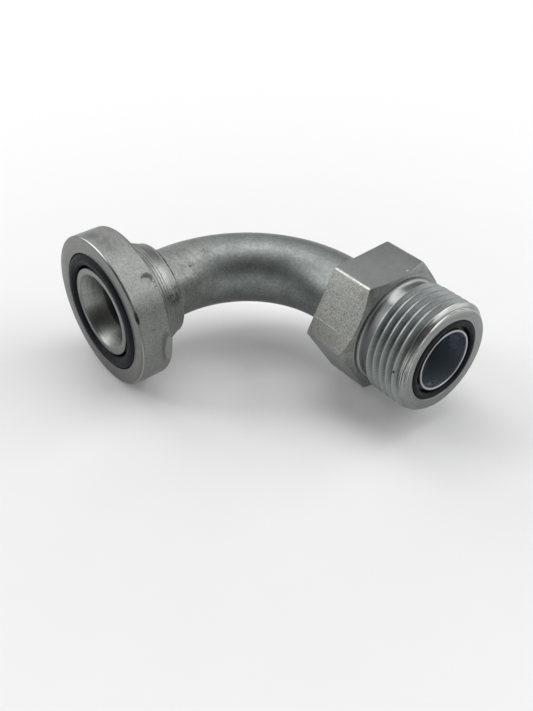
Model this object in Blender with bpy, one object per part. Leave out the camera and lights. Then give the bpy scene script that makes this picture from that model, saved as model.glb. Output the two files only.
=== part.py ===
"""Hydraulic elbow adapter: a flange head with an O-ring and a threaded face-seal end with its own O-ring,
joined by a bent steel tube. Lengths are in millimetres; make() turns them into metres.

The bend lies level. The flange face looks along -Y and the threaded face along +X. The part's lowest
point is at Z = 0, and X = Y = 0 is the middle of its outline seen from above."""

import math

import bmesh
import bpy
from mathutils import Euler, Vector

MM = 0.001

# Clearances where pieces touch, of steel and of rubber, and how far a cutter runs past what it cuts
SEAT_GAP = 0.3
SEAL_GAP = 0.1
CUT_OVER = 1.0
THREAD_COIL_RISE = 0.1

# Elbow tube
TUBE_OUTER_RADIUS = 9.525
TUBE_WALL = 1.65
BEND_RADIUS = 32.2
FLANGE_LEG = 54.6
THREAD_LEG = 69.2
TUBE_SIDES = 40
BEND_STEPS = 20

# Flange head, measured from its face along its axis
DISC_RADIUS = 20.64
DISC_THICKNESS = 8.8
DISC_FRONT_CHAMFER = 0.35
DISC_BACK_ROUND = 1.1
HUB_ROOT_RADIUS = 14.5
HUB_ROOT_FILLET = 0.8
HUB_TAPER_RADIUS = 13.6
HUB_END_RADIUS = 12.1
HUB_TAPER_LENGTH = 6.3
HUB_NOSE_LENGTH = 2.7
HUB_END_ROUND = 0.7
HUB_END_ROUND_START = -15
MOUTH_RADIUS = 10.4
FUNNEL_DEPTH = 5.5
FUNNEL_END_RADIUS = 8.1
FLANGE_SOCKET_START = 8.6

# Flange O-ring and its groove
FLANGE_SEAL_CORD = 3.53
FLANGE_GROOVE_OUTER = 16.2
FLANGE_GROOVE_INNER = 12.0
FLANGE_GROOVE_DEPTH = 2.85

# Threaded face-seal end, measured from its face along its axis
THREAD_RADIUS = 15.05
THREAD_CHAMFER_LENGTH = 1.55
THREAD_CHAMFER_DROP = 1.05
THREAD_PITCH = 25.4 / 12
THREAD_DEPTH = 1.3
THREAD_ROOT_WIDTH = 0.33
THREAD_FLANK_ANGLE = math.radians(30)
FACE_TO_FIRST_GROOVE = 1.4
FACE_TO_HEX = 15.7
NECK_RADIUS = 13.55
NECK_WIDTH = 3.6
NECK_FILLET = 1.1
NECK_FILLET_END = 255
BARREL_ROOT_LENGTH = 4.8
HEX_ACROSS_FLATS = 31.65
HEX_LENGTH = 14.35
HEX_FACE_RADIUS = 15.1
HEX_CHAMFER_ANGLE = math.radians(32)
HEX_EDGE_BEVEL = 0.55
HEX_TURN = math.radians(1.8)
END_BORE_RADIUS = 7.8
END_SOCKET_DEPTH = 7.5

# Face-seal O-ring and its groove
FACE_SEAL_CORD = 1.78
FACE_GROOVE_OUTER = 11.05
FACE_GROOVE_INNER = 8.4
FACE_GROOVE_DEPTH = 1.45

TURNED_SIDES = 64
THREAD_SIDES = 48
SEAL_SIDES = 48
SEAL_CORD_SIDES = 10
ROUND_STEPS = 4

# Values worked out from those above
TUBE_BORE_RADIUS = TUBE_OUTER_RADIUS - TUBE_WALL
SOCKET_RADIUS = TUBE_OUTER_RADIUS + SEAT_GAP
HUB_END = DISC_THICKNESS + HUB_TAPER_LENGTH + HUB_NOSE_LENGTH
FLANGE_TUBE_START = FLANGE_LEG - FLANGE_SOCKET_START - SEAT_GAP
HEX_REAR = FACE_TO_HEX + HEX_LENGTH
END_SOCKET_FLOOR = HEX_REAR - END_SOCKET_DEPTH
THREAD_TUBE_END = THREAD_LEG - END_SOCKET_FLOOR - SEAT_GAP


def clear_scene():
    for old in list(bpy.data.objects):
        bpy.data.objects.remove(old, do_unlink=True)


def material(name, colour, roughness, metallic):
    made = bpy.data.materials.new(name)
    made.use_nodes = True
    shader = made.node_tree.nodes["Principled BSDF"]
    shader.inputs["Base Color"].default_value = (*colour, 1.0)
    shader.inputs["Roughness"].default_value = roughness
    shader.inputs["Metallic"].default_value = metallic
    return made


def make(name, mesh, parent=None, look=None):
    """Puts a bmesh built in millimetres into the scene as an object in metres."""
    bmesh.ops.scale(mesh, vec=(MM, MM, MM), verts=mesh.verts)
    bmesh.ops.recalc_face_normals(mesh, faces=mesh.faces)
    data = bpy.data.meshes.new(name)
    mesh.to_mesh(data)
    mesh.free()
    made = bpy.data.objects.new(name, data)
    bpy.context.scene.collection.objects.link(made)
    made.parent = parent
    if look:
        data.materials.append(look)
    return made


def make_cutter(name, mesh, parent):
    cutter = make(name, mesh, parent)
    cutter.hide_render = True
    cutter.display_type = "WIRE"
    return cutter


def boolean(target, other, operation):
    step = target.modifiers.new(f"{operation.lower()} {other.name}", "BOOLEAN")
    step.object = other
    step.operation = operation
    step.solver = "EXACT"


def round_corner(radius_at, height_at, size, start, end):
    """Points of an arc in the (radius, height) plane, from the start angle to the end angle in degrees."""
    points = []
    for step in range(ROUND_STEPS + 1):
        angle = math.radians(start + (end - start) * step / ROUND_STEPS)
        points.append((radius_at + size * math.cos(angle), height_at + size * math.sin(angle)))
    return points


def revolve(profile, sides):
    """Turns a closed (radius, height) outline about Z into one solid."""
    mesh = bmesh.new()
    outline = [mesh.verts.new((radius, 0.0, height)) for radius, height in profile]
    edges = [mesh.edges.new((a, b)) for a, b in zip(outline, outline[1:] + outline[:1])]
    on_axis = [edge for edge in edges if all(abs(vert.co.x) < 1e-9 for vert in edge.verts)]
    bmesh.ops.delete(mesh, geom=on_axis, context="EDGES_FACES")
    bmesh.ops.spin(mesh, geom=mesh.verts[:] + mesh.edges[:], cent=(0, 0, 0), axis=(0, 0, 1),
                   angle=math.tau, steps=sides, use_merge=True)
    bmesh.ops.remove_doubles(mesh, verts=mesh.verts, dist=1e-4)
    return mesh


def flange_head(frame, look):
    """Disc, hub and bore in one turned outline, with the seal groove in the face."""
    back = -DISC_THICKNESS
    fillet = HUB_ROOT_FILLET
    hub_mid = back - HUB_TAPER_LENGTH
    profile = [(MOUTH_RADIUS, 0.0), (FLANGE_GROOVE_INNER, 0.0)]
    profile += [(FLANGE_GROOVE_INNER, -FLANGE_GROOVE_DEPTH), (FLANGE_GROOVE_OUTER, -FLANGE_GROOVE_DEPTH)]
    profile += [(FLANGE_GROOVE_OUTER, 0.0), (DISC_RADIUS - DISC_FRONT_CHAMFER, 0.0)]
    profile += [(DISC_RADIUS, -DISC_FRONT_CHAMFER)]
    profile += round_corner(DISC_RADIUS - DISC_BACK_ROUND, back + DISC_BACK_ROUND, DISC_BACK_ROUND, 0, -90)
    profile += round_corner(HUB_ROOT_RADIUS + fillet, back - fillet, fillet, 90, 180)
    profile += [(HUB_TAPER_RADIUS, hub_mid)]
    profile += round_corner(HUB_END_RADIUS - HUB_END_ROUND, -HUB_END + HUB_END_ROUND, HUB_END_ROUND,
                            HUB_END_ROUND_START, -90)
    profile += [(SOCKET_RADIUS, -HUB_END), (SOCKET_RADIUS, -FLANGE_SOCKET_START)]
    profile += [(FUNNEL_END_RADIUS, -FLANGE_SOCKET_START), (FUNNEL_END_RADIUS, -FUNNEL_DEPTH)]
    return make("flange_head", revolve(profile, TURNED_SIDES), frame, look)


def seal_ring(name, frame, look, cord, groove_outer, groove_depth):
    """An O-ring that lies against its groove's floor and outer wall."""
    middle = groove_outer - SEAL_GAP - cord / 2
    height = -groove_depth + SEAL_GAP + cord / 2
    profile = []
    for step in range(SEAL_CORD_SIDES):
        angle = math.tau * (step + 0.5) / SEAL_CORD_SIDES
        profile.append((middle + cord / 2 * math.cos(angle), height + cord / 2 * math.sin(angle)))
    return make(name, revolve(profile, SEAL_SIDES), frame, look)


def tube_path():
    """Centre points and directions from the flange socket to the hex socket, the bend's corner at 0, 0."""
    path = [(Vector((0, -FLANGE_TUBE_START, 0)), Vector((0, 1, 0)))]
    for step in range(BEND_STEPS + 1):
        turn = math.pi / 2 * step / BEND_STEPS
        point = Vector((BEND_RADIUS * (1 - math.cos(turn)), BEND_RADIUS * (math.sin(turn) - 1), 0))
        path.append((point, Vector((math.sin(turn), math.cos(turn), 0))))
    path.append((Vector((THREAD_TUBE_END, 0, 0)), Vector((1, 0, 0))))
    return path


def elbow_tube(parent, look):
    """Sweeps the tube's ring section along the bend, with its bore open at both ends."""
    mesh = bmesh.new()
    upward = Vector((0, 0, 1))
    walls = []
    for radius in (TUBE_OUTER_RADIUS, TUBE_BORE_RADIUS):
        rings = []
        for point, direction in tube_path():
            side = direction.cross(upward)
            ring = []
            for step in range(TUBE_SIDES):
                angle = math.tau * step / TUBE_SIDES
                outward = math.cos(angle) * side + math.sin(angle) * upward
                ring.append(mesh.verts.new(point + radius * outward))
            rings.append(ring)
        walls.append(rings)
    outer, inner = walls
    strips = [pair for rings in walls for pair in zip(rings, rings[1:])]
    strips += [(outer[0], inner[0]), (outer[-1], inner[-1])]
    for first, second in strips:
        for step in range(TUBE_SIDES):
            after = (step + 1) % TUBE_SIDES
            mesh.faces.new((first[step], first[after], second[after], second[step]))
    return make("elbow_tube", mesh, parent, look)


def hex_bar():
    """Six-sided bar from the hex's rear face to past its front face, its long edges slightly rounded."""
    mesh = bmesh.new()
    corner_radius = HEX_ACROSS_FLATS / math.sqrt(3)
    made = bmesh.ops.create_circle(mesh, cap_ends=True, segments=6, radius=corner_radius)
    bmesh.ops.translate(mesh, verts=made["verts"], vec=(0, 0, -HEX_REAR))
    grown = bmesh.ops.extrude_face_region(mesh, geom=mesh.faces[:], use_keep_orig=True)
    top = [item for item in grown["geom"] if isinstance(item, bmesh.types.BMVert)]
    bmesh.ops.translate(mesh, verts=top, vec=(0, 0, HEX_LENGTH + CUT_OVER))
    long_edges = [edge for edge in mesh.edges if abs(edge.verts[0].co.z - edge.verts[1].co.z) > CUT_OVER]
    bmesh.ops.bevel(mesh, geom=long_edges, offset=HEX_EDGE_BEVEL, segments=2, profile=0.5, affect="EDGES")
    bmesh.ops.rotate(mesh, verts=mesh.verts, cent=(0, 0, 0),
                     matrix=Euler((0, 0, HEX_TURN)).to_matrix())
    return mesh


def hex_turning():
    """Cone that chamfers the hex's front corners down to its round face."""
    outside = HEX_ACROSS_FLATS
    slope = math.tan(HEX_CHAMFER_ANGLE)
    chamfer_start = -FACE_TO_HEX - (outside - HEX_FACE_RADIUS) * slope
    profile = [(0.0, -FACE_TO_HEX), (HEX_FACE_RADIUS, -FACE_TO_HEX), (outside, chamfer_start)]
    profile += [(outside, -HEX_REAR - outside), (0.0, -HEX_REAR - outside)]
    return revolve(profile, TURNED_SIDES)


def threaded_barrel():
    """Thread's blank with its lead-in chamfer, and the neck with its fillet at the hex."""
    neck_start = -FACE_TO_HEX + NECK_WIDTH
    edge_radius = THREAD_RADIUS - THREAD_CHAMFER_DROP
    profile = [(0.0, 0.0), (edge_radius, 0.0), (THREAD_RADIUS, -THREAD_CHAMFER_LENGTH)]
    profile += [(THREAD_RADIUS, neck_start + (THREAD_RADIUS - NECK_RADIUS)), (NECK_RADIUS, neck_start)]
    profile += round_corner(NECK_RADIUS + NECK_FILLET, -FACE_TO_HEX + NECK_FILLET, NECK_FILLET,
                            180, NECK_FILLET_END)
    inside = NECK_RADIUS + NECK_FILLET * (1 + math.cos(math.radians(NECK_FILLET_END)))
    root = -FACE_TO_HEX - BARREL_ROOT_LENGTH
    profile += [(inside, root), (0.0, root)]
    return revolve(profile, THREAD_SIDES)


def thread_groove():
    """Right-handed coil with the groove's section, from the neck to past the face, that cuts the thread."""
    turns_to_neck = math.floor((FACE_TO_HEX - NECK_WIDTH - FACE_TO_FIRST_GROOVE) / THREAD_PITCH)
    start = -FACE_TO_FIRST_GROOVE - turns_to_neck * THREAD_PITCH
    turns = turns_to_neck + 2
    root_radius = THREAD_RADIUS - THREAD_DEPTH
    top_radius = THREAD_RADIUS + THREAD_COIL_RISE
    root_half = THREAD_ROOT_WIDTH / 2
    top_half = root_half + (top_radius - root_radius) * math.tan(THREAD_FLANK_ANGLE)
    mesh = bmesh.new()
    section = [(root_radius, -root_half), (top_radius, -top_half)]
    section += [(top_radius, top_half), (root_radius, root_half)]
    corners = [mesh.verts.new((radius, 0.0, start + height)) for radius, height in section]
    for first, second in zip(corners, corners[1:] + corners[:1]):
        mesh.edges.new((first, second))
    bmesh.ops.spin(mesh, geom=mesh.verts[:] + mesh.edges[:], cent=(0, 0, 0), axis=(0, 0, 1),
                   dvec=(0, 0, THREAD_PITCH / THREAD_SIDES), angle=math.tau * turns,
                   steps=THREAD_SIDES * turns)
    bmesh.ops.holes_fill(mesh, edges=mesh.edges)
    half_facet = math.pi / THREAD_SIDES
    bmesh.ops.rotate(mesh, verts=mesh.verts, cent=(0, 0, 0), matrix=Euler((0, 0, half_facet)).to_matrix())
    bmesh.ops.translate(mesh, verts=mesh.verts, vec=(0, 0, THREAD_PITCH * half_facet / math.tau))
    return mesh


def end_bore():
    """Flow bore from the face, opening into the socket that takes the tube."""
    profile = [(0.0, CUT_OVER), (END_BORE_RADIUS, CUT_OVER), (END_BORE_RADIUS, -END_SOCKET_FLOOR)]
    profile += [(SOCKET_RADIUS, -END_SOCKET_FLOOR), (SOCKET_RADIUS, -HEX_REAR - CUT_OVER)]
    profile += [(0.0, -HEX_REAR - CUT_OVER)]
    return revolve(profile, TURNED_SIDES)


def face_groove():
    """Ring cutter for the O-ring groove in the threaded face."""
    profile = [(FACE_GROOVE_INNER, CUT_OVER), (FACE_GROOVE_OUTER, CUT_OVER)]
    profile += [(FACE_GROOVE_OUTER, -FACE_GROOVE_DEPTH), (FACE_GROOVE_INNER, -FACE_GROOVE_DEPTH)]
    return revolve(profile, TURNED_SIDES)


def face_seal_end(frame, look):
    """Hex, neck and threaded barrel, bored through and grooved."""
    body = make("face_seal_end", hex_bar(), frame, look)
    barrel = make_cutter("barrel_cutter", threaded_barrel(), frame)
    boolean(barrel, make_cutter("thread_cutter", thread_groove(), frame), "DIFFERENCE")
    boolean(body, make_cutter("hex_turning_cutter", hex_turning(), frame), "INTERSECT")
    boolean(body, barrel, "UNION")
    boolean(body, make_cutter("bore_cutter", end_bore(), frame), "DIFFERENCE")
    boolean(body, make_cutter("groove_cutter", face_groove(), frame), "DIFFERENCE")
    return body


def port(name, parent, location, rotation):
    """Empty at the centre of a port's face, its own Z pointing out of the port."""
    frame = bpy.data.objects.new(name, None)
    bpy.context.scene.collection.objects.link(frame)
    frame.parent = parent
    frame.location = Vector(location) * MM
    frame.rotation_euler = rotation
    return frame


def stand_on_floor(elbow, pieces):
    """Moves the whole adapter so that its box's bottom centre is at the origin."""
    bpy.context.view_layer.update()
    shapes = bpy.context.evaluated_depsgraph_get()
    corners = []
    for piece in pieces:
        corners += [piece.matrix_world @ vert.co for vert in piece.evaluated_get(shapes).data.vertices]
    low = [min(corner[axis] for corner in corners) for axis in range(3)]
    high = [max(corner[axis] for corner in corners) for axis in range(3)]
    elbow.location = (-(low[0] + high[0]) / 2, -(low[1] + high[1]) / 2, -low[2])


def build():
    clear_scene()
    bright_zinc = material("flange_zinc", (0.36, 0.37, 0.36), 0.38, 1.0)
    tube_zinc = material("tube_zinc", (0.30, 0.33, 0.32), 0.42, 1.0)
    end_zinc = material("end_zinc", (0.33, 0.36, 0.36), 0.35, 1.0)
    nitrile = material("nitrile", (0.012, 0.012, 0.014), 0.55, 0.0)

    elbow = port("elbow", None, (0, 0, 0), (0, 0, 0))
    flange_port = port("flange_port", elbow, (0, -FLANGE_LEG, 0), (math.pi / 2, 0, 0))
    thread_port = port("thread_port", elbow, (THREAD_LEG, 0, 0), (0, math.pi / 2, 0))

    pieces = [
        flange_head(flange_port, bright_zinc),
        seal_ring("flange_seal", flange_port, nitrile,
                  FLANGE_SEAL_CORD, FLANGE_GROOVE_OUTER, FLANGE_GROOVE_DEPTH),
        elbow_tube(elbow, tube_zinc),
        face_seal_end(thread_port, end_zinc),
        seal_ring("face_seal", thread_port, nitrile,
                  FACE_SEAL_CORD, FACE_GROOVE_OUTER, FACE_GROOVE_DEPTH),
    ]
    stand_on_floor(elbow, pieces)


build()
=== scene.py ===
"""Looks of the hydraulic elbow adapter: turned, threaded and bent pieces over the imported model, their zinc
and rubber finishes, a pale floor, soft light and the camera. Lengths are in millimetres until a piece is
placed. A port's depth runs inwards from its face, and angles round a port are in degrees."""

import math

import bpy
from mathutils import Euler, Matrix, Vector


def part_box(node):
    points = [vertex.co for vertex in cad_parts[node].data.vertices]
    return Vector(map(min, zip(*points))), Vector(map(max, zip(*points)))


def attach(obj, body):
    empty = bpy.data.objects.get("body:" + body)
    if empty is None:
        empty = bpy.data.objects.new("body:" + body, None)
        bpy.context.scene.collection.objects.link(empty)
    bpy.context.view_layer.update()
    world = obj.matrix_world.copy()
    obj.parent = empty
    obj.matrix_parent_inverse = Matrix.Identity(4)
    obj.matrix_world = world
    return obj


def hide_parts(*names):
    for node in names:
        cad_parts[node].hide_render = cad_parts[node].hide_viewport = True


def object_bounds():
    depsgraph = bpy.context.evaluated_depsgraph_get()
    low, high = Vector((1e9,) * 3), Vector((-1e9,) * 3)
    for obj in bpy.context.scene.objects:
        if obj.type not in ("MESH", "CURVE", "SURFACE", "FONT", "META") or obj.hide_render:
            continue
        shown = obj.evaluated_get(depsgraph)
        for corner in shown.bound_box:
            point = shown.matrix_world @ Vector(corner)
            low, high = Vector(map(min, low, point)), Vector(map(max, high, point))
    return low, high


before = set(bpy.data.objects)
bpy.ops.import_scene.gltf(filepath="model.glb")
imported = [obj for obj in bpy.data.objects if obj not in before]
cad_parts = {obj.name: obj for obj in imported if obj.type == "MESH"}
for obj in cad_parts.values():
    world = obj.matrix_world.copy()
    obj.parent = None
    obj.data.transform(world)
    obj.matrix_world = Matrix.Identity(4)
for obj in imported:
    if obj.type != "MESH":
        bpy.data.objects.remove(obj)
cad_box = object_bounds()

MM = 0.001
WELD = 2e-6
TURNED_SIDES = 256
SMOOTH_BELOW = math.radians(24)
SEAT_GAP = 0.1
PAST_THE_END = 60

# Ports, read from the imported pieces: the middle of each face, and the turn that points local Z out of it
flange_low, flange_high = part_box("flange_head")
end_low, end_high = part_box("face_seal_end")
flange_middle = [(low + high) / 2 for low, high in zip(flange_low, flange_high)]
FLANGE_PORT = Vector((flange_middle[0], flange_low[1], flange_middle[2]))
THREAD_PORT = Vector((end_high[0], (end_low[1] + end_high[1]) / 2, FLANGE_PORT[2]))
FLANGE_TURN = Euler((math.pi / 2, 0, 0))
THREAD_TURN = Euler((0, math.pi / 2, 0))
NO_TURN = Euler((0, 0, 0))
CORNER = Vector((FLANGE_PORT[0], THREAD_PORT[1], FLANGE_PORT[2]))
FLANGE_LEG = (CORNER[1] - FLANGE_PORT[1]) / MM
THREAD_LEG = (THREAD_PORT[0] - CORNER[0]) / MM

# Tube
TUBE_RADIUS = 9.525
TUBE_WALL = 1.65
TUBE_SIDES = 144
BEND_RADIUS = 32.2
BEND_STEPS = 72
FLANGE_LEG_PARTS = 8
THREAD_LEG_PARTS = 6

# Flange head, measured from its face
DISC_RADIUS = 20.64
DISC_THICKNESS = 8.8
DISC_CHAMFER = 0.35
DISC_BACK_ROUND = 0.8
FACE_RING = 18.2
RIM_ROWS = 18
RIM_ROW = 0.4
HUB_ROOT_RADIUS = 14.5
HUB_ROOT_FILLET = 0.8
HUB_END = 17.8
HUB_NOSE_RADIUS = 12.0
HUB_NOSE_ROUND = 0.75
HUB_NOSE_FROM = 15
SOCKET_START = 8.6
FLANGE_GROOVE_OUTER = 16.2
FLANGE_GROOVE_INNER = 12.0
FLANGE_GROOVE_DEPTH = 2.85
MOUTH_RADIUS = 10.4
FUNNEL_DEPTH = 5.5
FUNNEL_END_RADIUS = 8.1
BROKEN_EDGE = 0.1
BROKEN_EDGE_ANGLE = math.radians(40)

# Tool grooves round the hub
HUB_RIDGES = 4
HUB_RIDGES_FROM = 2.2
HUB_RIDGE_PITCH = 0.8
HUB_RIDGE_RADIUS = 14.45
HUB_RIDGE_TAPER = 0.1
HUB_RIDGE_DEPTH = 0.12
HUB_RIDGE_BOTTOM = 0.14
HUB_RIDGE_STEP = 0.03
HUB_RIDGE_WIDTH = 0.32

# Threaded end, measured from its face
THREAD_RADIUS = 15.05
THREAD_PITCH = 25.4 / 12
THREAD_DEPTH = 1.3
THREAD_FLANK = math.radians(30)
THREAD_ROOT_HALF = 0.17
THREAD_ROOT_ROUND = 0.13
THREAD_CUT_OVER = 0.15
THREAD_PHASE = -1.40
THREAD_TURNS = 8
THREAD_TURNS_BEHIND = 6
THREAD_STEPS = 128
THREAD_CHAMFER_LENGTH = 1.55
THREAD_CHAMFER_DROP = 1.05
END_EDGE_ROUND = 0.35
END_EDGE_TO = 35
FACE_TO_HEX = 15.7
NECK_RADIUS = 13.55
NECK_WIDTH = 2.9
NECK_RUNOUT = 0.9
NECK_FILLET = 1.1
NECK_FILLET_END = 255
HEX_SIDES = 6
HEX_ACROSS_FLATS = 31.65
HEX_LENGTH = 14.35
HEX_SPARE = 1
HEX_FACE_RADIUS = 15.1
HEX_FACE_ROUND = 0.15
HEX_FACE_DROP = 0.05
HEX_CHAMFER_ANGLE = math.radians(32)
HEX_EDGE_BEVEL = 0.63
HEX_TURN = math.radians(1.8)
END_BORE_RADIUS = 7.8
END_SOCKET_DEPTH = 7.5
FACE_GROOVE_OUTER = 11.05
FACE_GROOVE_INNER = 8.4
FACE_GROOVE_DEPTH = 1.45
CUT_ABOVE = 0.4
EDGE_BREAK = 0.1

# O-rings
FLANGE_CORD = 3.53
FACE_CORD = 1.78
RING_GAP = 0.02
RING_SIDES = 200
CORD_SIDES = 36

# Braze round the tube: where it starts on the socket's end, and how far it reaches
HUB_BRAZE_RADIUS = 11.2
HUB_BRAZE_REACH = 0.9
HEX_BRAZE_RADIUS = 10.1
HEX_BRAZE_REACH = 0.4
BRAZE_OVERLAP = 0.2
BRAZE_ROOT = 0.4
BRAZE_EDGE = 0.05
BRAZE_TAIL = 0.3

# Knocks on the disc: angle round the flange and depth from its face, then push and reach
DISC_KNOCKS = {
    "dent": (46.5, 6.4, (-0.07, 0.03, -0.07), 1.3),
    "nick": (25.5, 0.3, (-0.16, 0.1, -0.08), 1.1),
    "facet": (-8.5, 7.6, (-0.2, 0, 0.03), 3.2),
}

# Small mark on the tube, from the bend's corner
TUBE_MARK_AT = (6.15, -30.2, 7.34)
TUBE_MARK_PUSH = (-0.09, 0, -0.11)
TUBE_MARK_REACH = 1.0
TUBE_MARK_SIZE = 0.38

# Base colours, and the shade in both seal grooves
GROOVE_SHADE = (0.012, 0.014, 0.018)
FLANGE_ZINC = (0.24, 0.247, 0.238)
TUBE_ZINC = (0.228, 0.249, 0.24)
FLANGE_LEG_ZINC = (0.238, 0.244, 0.231)
END_ZINC = (0.249, 0.262, 0.258)
THREAD_ZINC = (0.275, 0.298, 0.294)
BRIGHT_BORE = (0.56, 0.63, 0.7)
ROLLED_FLAT = (0.367, 0.374, 0.351)
RUBBER = (0.006, 0.0078, 0.0125)
RUBBER_BLOOM = (0.011, 0.0135, 0.018)
PAPER = (0.78, 0.78, 0.78)

# Colours of marks and dirt on the flange head, and of its painted shade, shadow and highlights
WORN_FACE = (0.15, 0.145, 0.125)
PAINTED_FRONT_EDGE_SHADE = (0.14, 0.145, 0.14)
PAINTED_EDGE_HIGHLIGHT = (0.72, 0.71, 0.67)
PAINTED_LOW_EDGE_HIGHLIGHT = (0.42, 0.43, 0.42)
NICK_SHADE = (0.03, 0.032, 0.035)
PAINTED_DENT_SHADE = (0.03, 0.033, 0.034)
CHIP_SHADE = (0.05, 0.052, 0.05)
HAND_MARK_SHADE = (0.13, 0.137, 0.136)
PAINTED_FACET_EDGE_SHADE = (0.115, 0.12, 0.112)
PAINTED_FACET_SHEEN = (0.33, 0.345, 0.34)
SCRATCH_SHADE = (0.1, 0.1, 0.1)
PAINTED_HUB_HIGHLIGHT = (0.44, 0.452, 0.43)
PAINTED_GROOVE_LINE_SHADE = (0.07, 0.072, 0.07)
SMUDGE_SHADE = (0.05, 0.053, 0.05)
PAINTED_CREVICE_SHADOW = (0.02, 0.02, 0.02)

# Colours of marks and dirt on the tube, and of the painted shade inside it
SPARKLE = (0.55, 0.575, 0.56)
SPOT = (0.13, 0.138, 0.132)
BROWN_STAIN = (0.1, 0.088, 0.062)
TUBE_MARK_SHADE = (0.05, 0.053, 0.052)
PAINTED_TUBE_INSIDE_SHADE = (0.1, 0.115, 0.11)

# Colours of marks and dirt on the threaded end, and of its painted shade, light and highlights
PIT_SHADE = (0.12, 0.123, 0.115)
PAINTED_RIDGE_HIGHLIGHT = (0.6, 0.6, 0.58)
RUBBED_CORNER = (0.4, 0.4, 0.385)
CHAMFER_GRIME = (0.11, 0.1, 0.08)
HEX_SPOT_BROWN = (0.2, 0.17, 0.14)
HEX_SPECK_LIGHT = (0.7, 0.7, 0.68)
CREST_SHEEN = (0.36, 0.38, 0.375)
THREAD_SPECK_DARK = (0.04, 0.04, 0.04)
PAINTED_NECK_SHADE = (0.18, 0.187, 0.19)
PAINTED_NECK_SHADOW = (0.1, 0.1, 0.103)
PAINTED_NECK_HIGHLIGHT = (0.5, 0.51, 0.5)
PAINTED_NECK_END_LIGHT = (0.36, 0.37, 0.36)
DARK_STREAK = (0.045, 0.04, 0.036)
LIGHT_STREAK = (0.5, 0.5, 0.48)
STREAKED_PAINTED_TOP_LIGHT = (0.46, 0.46, 0.44)
PAINTED_FACE_EDGE_HIGHLIGHT = (0.75, 0.75, 0.72)
PAINTED_FACE_EDGE_SHADE = (0.07, 0.068, 0.062)
FACE_SPECK_DARK = (0.03, 0.03, 0.032)
LIP_SHEEN = (0.5, 0.52, 0.53)

# Marks as ovals on a turned surface: angle, depth, half angle, half depth
NICK = (25.0, 0.35, 4.6, 0.38)
DENT = (47.3, 6.75, 3.7, 1.5)
DENT_FLOOR = (44.9, 5.9, 3.3, 1.45)
UPPER_CHIP = (43.2, 8.1, 0.6, 0.25)
LOWER_CHIP = (40.0, 7.9, 0.5, 0.22)
HAND_MARK = (87, 3.4, 9, 1.6)
SMALL_HAND_MARK = (101, 2.6, 6, 1.2)
FACET_EDGE = (-6.5, 6.6, 13, 1.35)
FACET = (-8.5, 7.55, 11, 1.25)
SCRATCH = (12.8, 3.4, 0.45, 1.0)
HUB_HIGHLIGHT_PATCH = (49, 15.6, 19, 2.6)
SMUDGE = (25, 15.6, 11, 2.4)
CREVICE = (62, 17.35, 22, 0.26)
NECK_HIGHLIGHT_SPOT = (-164, 13.9, 9, 1.6)
BORE_SMEAR = (-13, 1.7, 15, 0.45)
DEEP_BORE_SMEAR = (95, 3.9, 22, 1.1)

# Marks as balls: place in the port's millimetres, and size
STAIN = ((4.65, -24.19, 8.85), 1.3)
HEX_SPOT = ((-13.4, -10.5, -18.7), 0.9)
HEX_SPECK = ((-15.8, 2.7, -17.2), 0.28)
THREAD_SPECK = ((-2.35, -14.82, -3.0), 0.4)
FACE_SPECK = ((-9.6, 5.0, 0.0), 0.4)

# Zones of the flange head: from and to of a radius, a depth or an angle
RIM_FROM = (19.7, 19.95)
RIM_DEPTHS = (0.3, 8.6)
NEAR_RIM = (19.0, 19.3)
NICK_FROM = (19.9, 20.1)
UNDERSIDE = (-75, -15)
MOUTH_WITHIN = (10.2, 10.6)
MOUTH_DEPTH = (0.1, 0.4)
OUTER_FACE_FROM = (16.1, 16.3)
OUTER_FACE_DEPTH = (0.1, 0.2)
WORN_RING = (19.0, 20.0)
WORN_ARC = (-38, 4)
WORN_DEPTH = (0.2, 0.4)
CHAMFER_FROM = (20.15, 20.35)
CHAMFER_DEPTH = (0.4, 0.5)
BRIGHT_EDGE_DEPTHS = (0.14, 0.28)
BRIGHT_EDGE_ARC = (68, 106)
LOW_EDGE_RING = (20.2, 20.42)
LOW_EDGE_ARC = (-48, 8)
HUB_DEPTHS = (10.6, 18.3)
HUB_FROM = (12.0, 12.3)
HUB_WITHIN = (14.6, 14.8)
HUB_NOSE_DEPTHS = (16.8, 17.8)
CREVICE_FROM = (12.1, 12.3)
RIDGE_LINES_END = 14.1
RIDGE_LINES_ARC = (12, 84)
RIDGE_LINE = (0.08, 0.3)

# Zones of the tube: from and to along it, up it, or from its middle
WARM_LEG_TO = (-29, -22)
TUBE_UNDERSIDE = (-6.0, 4.5)
TUBE_WITHIN = (8.5, 8.8)
DARK_INSIDE_TO = (-32, -28)

# Closeness of the wiped marks on the flange leg, along each axis
WIPED_MARKS = (0.25, 2.6, 0.25)

# Flats of the hex, counted round it from the one underneath
TOP_FLAT = 3
ROLLED = 4
UNDER_FLATS = (5, 0, 1)

# Zones of the threaded end: from and to of a radius, a depth, an angle, or a distance down or across a flat
END_UNDERSIDE = (3.0, 13.0)
HEX_FROM = (15.6, 15.75)
FLAT_FROM = (-0.25, -0.1)
PITTED_ACROSS = (-5.5, 3.8)
CREASE_ACROSS = (4.0, 4.25)
PAST_CREASE = (3.8, 4.4)
SHADED_PAST_CREASE = (3.9, 4.6)
CORNERS_FROM = (17.85, 18.0)
FRONT_CORNER_ARC = (-148.9, -147.6)
HEX_CONE_DEPTHS = (15.7, 17.6)
HEX_CONE_FROM = (15.2, 15.4)
THREAD_DEPTHS = (1.3, 12.0)
THREAD_FROM = (13.4, 13.6)
CREST_FROM = (14.86, 14.98)
ROOT_WITHIN = (13.78, 14.05)
NECK_DEPTHS = (12.0, 15.6)
NECK_WITHIN = (14.7, 14.9)
SHADED_NECK_ARC = (-118, -60)
NECK_END_DEPTHS = (14.9, 15.6)
NECK_END_RADII = (13.8, 15.0)
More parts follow.
